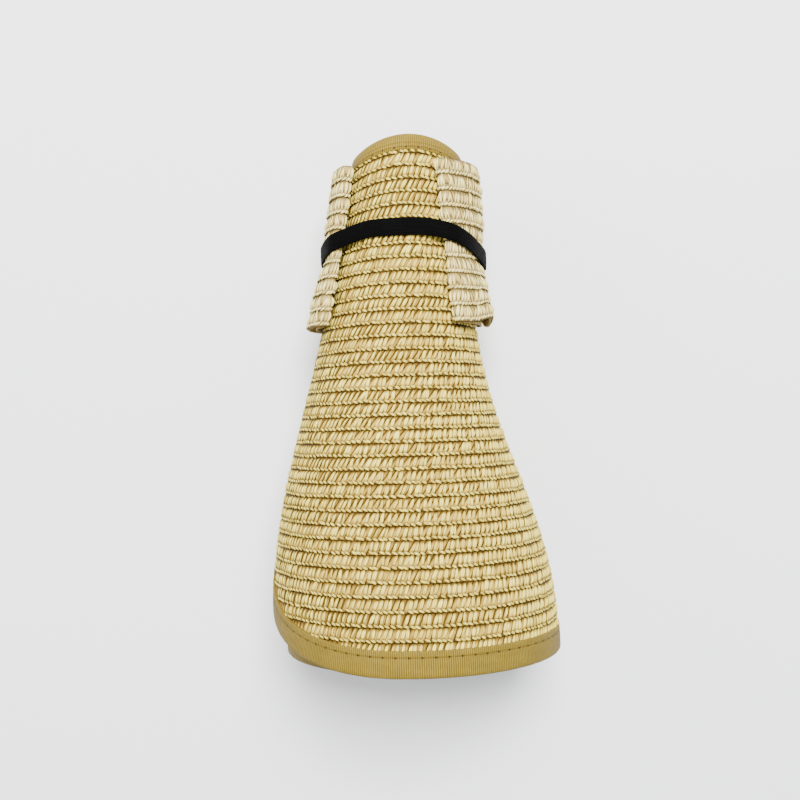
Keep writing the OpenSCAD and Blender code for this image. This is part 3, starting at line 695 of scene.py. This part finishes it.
def bow_loop(name, side, replaced):
    """One loop: a hollow flattened tube, and rows of leaves and cord over its upper ply and round its fold."""
    pillow = 0.35 * np.abs(np.sin(np.pi * BOW_ROWS * (bow_v + 1) / 2)) ** 0.6
    skin = on_bow(side, bow_run[None], bow_v, bow_bend[None], pillow - 0.45)
    lining = on_bow(side, bow_run[None], bow_v * 0.995, bow_bend[None], 0 * pillow - PLY)
    points, faces = shell(skin, lining, flip=side < 0)
    round_loop = np.radians(bow_run)[None] * 22 / BOW_LEAF
    uv = np.stack(np.broadcast_arrays(round_loop, BOW_ROWS * (bow_v + 1) / 2), -1).reshape(-1, 2)
    body = piece(name, points, faces, np.concatenate([uv, uv + 0.5]), pale_back)
    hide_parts(replaced)
    rows = (np.arange(BOW_ROWS) + 0.5) / BOW_ROWS * 2 - 1
    arm = BOW_MID + rows * BOW_WIDE / 2
    far = roll_r(arm) + LOOP_HIGH
    flat_run = np.radians(LOOP_ANGLE - TIP) * far
    whole = flat_run + 7.5
    at = 6 + (np.arange(MOST_IN_BOW_ROW)[None] + luck.random((BOW_ROWS, 1))) * BOW_LEAF
    keep = at < whole[:, None]
    row = np.broadcast_to(rows[:, None], at.shape)[keep]
    reach = np.broadcast_to(far[:, None], at.shape)[keep]
    flat = np.broadcast_to(flat_run[:, None], at.shape)[keep]
    at = at[keep]
    n = len(at)

    def place(x, y, step_x, step_y, up):
        """Steps on the loop, from a leaf at x along the strip and y across it. Past the flat they go round
        the fold."""
        run = x + step_x
        over = np.clip(run - flat[:, None, None], 0, None)
        a = np.clip(np.degrees(np.minimum(run, flat[:, None, None]) / reach[:, None, None]), 2, LOOP_ANGLE - TIP)
        squeeze = bow_half_wide(a) * 2 / BOW_WIDE
        bend = np.degrees(over / (LOOP_HIGH / 2))
        return on_bow(side, a, y - step_y * 2 / BOW_WIDE, bend, up * (0.55 + 0.45 * squeeze))

    lie = np.where(luck.random(n) < 0.68, -1.0, 1.0) * side
    tall = np.clip(row + 2 / BOW_ROWS * 0.5, -1, 0.985)
    leaves = straw_leaves(name + "_leaves", place, at, tall - 2 * 0.95 / BOW_WIDE, uneven(n, 0.75, 0.5) * lie,
                          uneven(n, 3.6, 0.09), uneven(n, 1.0, 0.22), uneven(n, 0.72, 0.35), -0.34,
                          uneven(n, 0.16, 0.5), pale_straw, 6, 4, flip=side > 0)
    cord = straw_leaves(name + "_cord", place, at, tall - 2 * 1.15 / BOW_WIDE, uneven(n, 1.5, 0.12) * side,
                        uneven(n, -0.95, 0.14), uneven(n, 0.85, 0.15), uneven(n, 0.5, 0.15), -0.10,
                        uneven(n, -0.1, 0.5), pale_straw, 5, 4, flip=side > 0)


# A paler copy of the sheet's braid colour, with the same painted shade low between its crowns.
pale_back = braid_back.copy()
pale_back.name = "pale_straw_back"
for node in pale_back.node_tree.nodes:
    if node.type == "VALTORGB":
        paler = (0.085, 0.058, 0.020), (0.26, 0.18, 0.05), (0.55, 0.41, 0.13)
        for mark, colour in zip(node.color_ramp.elements, paler):
            mark.color = (*colour, 1)
bow_loop("bow_left", -1, "bow_left_loop")
bow_loop("bow_right", 1, "bow_right_loop")

# ---- The knot
# A short piece of the same braid wrapped round the gathered strip and tacked to the brim; the table
# presses it flat underneath.

KNOT_ROUND, KNOT_Z = 14.0, 1.38
KNOT_Y = BRIM_LONG - BOW_MID
knot_base = roll_r(BOW_MID) - turn_pitch(BOW_MID) * KNOT_TURN / 360 + STRAW_HALF + BOW_GAP
knot_out = AXIS_Z - KNOT_Y * np.sin(LEAN) - KNOT_Z
knot_wide = bow_half_wide(KNOT_HALF) + WRAP + 0.1
knot_tilt = float(bow_floor(BOW_MID + 5.0, 1, 0.0) - bow_floor(BOW_MID - 5.0, 1, 0.0)) / 10


def on_knot(az, ring, up):
    """A point up off the wrap: az is degrees from the knot's middle along the strip, ring degrees round the strip,
    0 to the wide end and 90 away from the roll. The section is a rounded oblong, pressed flat on the table."""
    ball = knot_out + 1.5 - KNOT_ROUND
    top = ball * np.cos(np.radians(az)) + np.sqrt(KNOT_ROUND ** 2 - (ball * np.sin(np.radians(az))) ** 2) - 0.25
    c, d = np.cos(np.radians(ring)), np.sin(np.radians(ring))
    step = (knot_wide + up) * np.sign(c) * np.abs(c) ** 0.7
    low = knot_base + knot_tilt * step
    half = (top - low) / 2
    r = low + half + (half + up) * np.sign(d) * np.abs(d) ** 0.7
    p = polar(r, KNOT_AZ + az, KNOT_Y - step)
    p[..., 0] += SWAY * (np.cos(2 * np.pi * KNOT_Y / BRIM_LONG) - np.cos(2 * np.pi * p[..., 1] / BRIM_LONG))
    p = on_table(p)
    p[..., 2] = np.maximum(p[..., 2], KNOT_Z / 1000)
    return p


knot_az = np.linspace(-KNOT_HALF, KNOT_HALF, 41)[:, None]
knot_ring = np.linspace(0, 360, 73)[None, :-1]
knot_pillow = 0.4 * np.abs(np.sin(np.pi * 4 * (knot_az + KNOT_HALF) / (2 * KNOT_HALF))) ** 0.6 - 0.75
knot_skin = on_knot(knot_az, knot_ring, knot_pillow + 0 * knot_ring)
knot_lining = on_knot(knot_az, knot_ring, -1.2 + 0 * knot_pillow + 0 * knot_ring)
knot_index = np.arange(knot_skin[..., 0].size).reshape(knot_skin.shape[:2])
knot_loop = np.concatenate([knot_index, knot_index[:, :1]], 1)
knot_face = np.stack([knot_loop[:-1, :-1], knot_loop[:-1, 1:], knot_loop[1:, 1:], knot_loop[1:, :-1]], -1)
knot_face = knot_face.reshape(-1, 4)
knot_n = knot_index.size
knot_ends = np.concatenate([
    np.stack([knot_loop[0, 1:], knot_loop[0, :-1], knot_loop[0, :-1] + knot_n, knot_loop[0, 1:] + knot_n], -1),
    np.stack([knot_loop[-1, :-1], knot_loop[-1, 1:], knot_loop[-1, 1:] + knot_n, knot_loop[-1, :-1] + knot_n], -1)])
knot_faces = np.concatenate([knot_face, knot_face[:, ::-1] + knot_n, knot_ends])
knot_uv = np.stack(np.broadcast_arrays(knot_ring / 9, (knot_az + KNOT_HALF) / 12), -1).reshape(-1, 2)
knot = piece("bow_knot_wrap", np.concatenate([knot_skin.reshape(-1, 3), knot_lining.reshape(-1, 3)]), knot_faces,
             np.concatenate([knot_uv, knot_uv]), pale_back)
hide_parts("bow_knot")
knot_at, knot_row = np.meshgrid(np.arange(-28, 208, 9.0), (-15.0, -4.5, 6.0, 16.5))
knot_at, knot_row = knot_at.ravel(), knot_row.ravel()


def knot_place(x, y, step_x, step_y, up):
    """Steps on the wrap, turned into degrees: x and step_x go round the strip, y and step_y along it."""
    return on_knot(y + step_y * 2.35, x + step_x * 6.2, up)


straw_leaves("bow_knot_leaves", knot_place, knot_at, knot_row - 1.0, 0.6, 3.4, 1.5, 0.6, -0.45, 0.12,
             pale_straw, 6, 4, flip=True)
straw_leaves("bow_knot_cord", knot_place, knot_at, knot_row - 0.5, 0.9, -1.5, 1.1, 0.45, -0.30, -0.1,
             pale_straw, 5, 4, flip=True)

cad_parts["bow_tacks"].data.materials.clear()
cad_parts["bow_tacks"].data.materials.append(cotton)

# ---- The elastic
# A black knitted elastic, 5 mm wide, sewn into a loop. It is drawn tight round the roll, the bow and the
# knot, and slides off over the narrow end.

BAND_WIDE, BAND_TOP, SIDE_DIP, KNOT_DIP = 5.0, 28.0, 8.0, 3.0
HEADWARD, BAND_MEAN_R = 0.6, 26
band_axis = AXIS_Z - (BRIM_LONG - BAND_TOP - SIDE_DIP) * np.sin(LEAN)


def band_dip(az):
    """How much further from the head the elastic lies at az from straight up: most at the sides."""
    side = np.where(az < 0, SIDE_DIP * 0.75 * ease(28, 95, -az), SIDE_DIP * ease(8, 92, az))
    return side + (KNOT_DIP - side) * ease(95, 180, np.abs(az))


def band_line(clear):
    """The taut outline of all that the elastic goes over: at each angle the nearest of the lines that touch the
    outermost points, moved out by clear. Gives angles and radii about the band's own middle, in millimetres."""
    az = np.arange(-180, 180, 1.0)
    found = []
    for across in (-BAND_WIDE / 2, 0, BAND_WIDE / 2):
        s = BAND_TOP + band_dip(az) - HEADWARD + across
        found.append(on_table(polar(sheet_r(s, np.clip(az - FREE_END, 0, None)) + 0.66, az, BRIM_LONG - s)))
        for side in (1, -1):
            a = np.linspace(2, LOOP_ANGLE + TIP, 90)
            turned = KNOT_AZ - side * a
            turned = (turned + 180) % 360 - 180
            s = BAND_TOP + band_dip(turned) - HEADWARD + across
            v = (s - BOW_MID) / bow_half_wide(a)
            flat_a = np.minimum(a, LOOP_ANGLE - TIP)
            bend = np.degrees(np.clip((a - flat_a) / TIP, 0, 1) * np.pi / 2)
            inside = np.abs(v) < 1
            found.append(on_bow(side, flat_a, np.clip(v, -1, 1), bend, 0.28)[inside])
        found.append(on_knot(np.linspace(-KNOT_HALF, KNOT_HALF, 25), np.full(25, 90.0), np.full(25, 0.1)))
    points = np.concatenate(found) * 1000
    across_way = np.radians(np.arange(0, 360, 0.5))
    off_middle = points[:, :1] * np.sin(across_way)[None] + (points[:, 2:] - band_axis) * np.cos(across_way)[None]
    reach = np.max(off_middle, 0) + clear
    facing = np.cos(across_way[None] - np.radians(az)[:, None])
    r = np.min(np.where(facing > 0.05, reach[None] / np.maximum(facing, 0.05), 1e3), 1)
    return az, r


band_az, band_r = band_line(0.16)
band_r = np.mean([np.roll(band_r, shift) for shift in range(-4, 5)], 0)
band_profile = np.array([(0.0, -2.35), (0.05, -2.5), (0.3, -2.55), (0.55, -2.5), (0.6, -2.35), (0.64, -1.2),
                         (0.66, 0), (0.64, 1.2), (0.6, 2.35), (0.55, 2.5), (0.3, 2.55), (0.05, 2.5),
                         (0.0, 2.35), (0.0, 0.0)])
line = band_az[:, None]
band_s = BRIM_LONG - BAND_TOP - band_dip(line) + HEADWARD
lie = on_table(polar(band_r[:, None], line, band_s))[..., 1] * 1000
out = band_r[:, None] + band_profile[None, :, 0]
band_points = np.stack(np.broadcast_arrays(out * np.sin(np.radians(line)), lie + band_profile[None, :, 1],
                                           np.maximum(band_axis + out * np.cos(np.radians(line)), 0.0)), -1) / 1000
band_rows, band_cols = band_points.shape[:2]
band_index = np.arange(band_rows * band_cols).reshape(band_rows, band_cols)
band_ring = np.concatenate([band_index, band_index[:1]], 0)
band_ring = np.concatenate([band_ring, band_ring[:, :1]], 1)
band_faces = np.stack([band_ring[:-1, :-1], band_ring[1:, :-1], band_ring[1:, 1:], band_ring[:-1, 1:]], -1)
band_faces = band_faces.reshape(-1, 4)
band_run = np.radians(band_az + 180) * BAND_MEAN_R
band_uv = np.stack(np.broadcast_arrays(band_run[:, None], band_profile[None, :, 1]), -1).reshape(-1, 2)

knit, knit_tree, knit_shader = finish_named("black_elastic", 0.72)
knit_where = knit_tree.nodes.new("ShaderNodeUVMap").outputs["UV"]
knit_split = knit_tree.nodes.new("ShaderNodeSeparateXYZ")
knit_tree.links.new(knit_where, knit_split.inputs[0])
knit_across = math(knit_tree, "MULTIPLY", knit_split.outputs["Y"], np.pi / 0.62)
knit_rib = math(knit_tree, "ABSOLUTE", math(knit_tree, "SINE", knit_across))
knit_along = math(knit_tree, "MULTIPLY", knit_split.outputs["X"], 2 * np.pi / 0.7)
knit_zig = math(knit_tree, "SINE", math(knit_tree, "ADD", knit_along, math(knit_tree, "MULTIPLY", knit_rib, 2.4)))
knit_high = math(knit_tree, "ADD", knit_rib, math(knit_tree, "MULTIPLY", knit_zig, 0.35))
# Lighter streaks that run along the band.
along_streaks = noise(knit_tree, stretched(knit_tree, knit_where, (0.08, 1.6, 1)), 1.4, 3.0, 0.65)
knit_colour = ramp(knit_tree, along_streaks, ((0.5, (0.0006, 0.0006, 0.0006)), (0.68, (0.0016, 0.0016, 0.0016)),
                                     (0.82, (0.007, 0.007, 0.007))))
knit_tree.links.new(knit_colour, knit_shader.inputs["Base Color"])
bumped(knit_tree, knit_shader, knit_high, 0.00009)
knit_shader.inputs["Specular IOR Level"].default_value = 0.03
band = piece("elastic_band_knit", band_points.reshape(-1, 3), band_faces, band_uv, knit, "band")
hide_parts("elastic_band")

# ---- The elastic's bar tack
# A bar of close zigzag stitches in black thread.
# It is sewn through both ends of the elastic, where they overlap, and makes it a loop.

TACK_STITCHES = 12
tack_line = np.linspace(-146, -140.5, TACK_STITCHES)[:, None, None]
tack_p, tack_q = np.linspace(0, 1, 7)[None, :, None], np.linspace(-1, 1, 4)[None, None, :]
tack_az = tack_line + 0.26 * tack_q + 0.5 * (tack_p - 0.5)
tack_r = np.interp(tack_az, band_az, band_r) + 0.62 + 0.16 * (1 - tack_q ** 2) * np.sin(np.pi * tack_p) ** 0.4
tack_y = np.interp(tack_az, band_az, lie[:, 0]) + 4.1 * (tack_p - 0.5)
tack_points = np.stack([tack_r * np.sin(np.radians(tack_az)), tack_y,
                        band_axis + tack_r * np.cos(np.radians(tack_az))], -1) / 1000
tack_faces = (grid_faces(7, 4)[None] + (np.arange(TACK_STITCHES) * 28)[:, None, None]).reshape(-1, 4)
tack_uv = np.stack(np.broadcast_arrays(tack_q * 0.3 + 0 * tack_az, tack_p * 4 + tack_line), -1).reshape(-1, 2)
black_thread, black_tree, black_shader = finish_named("black_thread", 0.5)
black_where = black_tree.nodes.new("ShaderNodeUVMap").outputs["UV"]
black_twist = noise(black_tree, stretched(black_tree, black_where, (2, 5, 1)), 2.0, 2.0)
black_colour = ramp(black_tree, black_twist, ((0.3, (0.006, 0.006, 0.007)), (0.7, (0.022, 0.022, 0.024))))
black_tree.links.new(black_colour, black_shader.inputs["Base Color"])
tack = piece("elastic_bar_tack_stitches", tack_points.reshape(-1, 3), tack_faces, tack_uv, black_thread,
             "band")
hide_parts("elastic_bar_tack")
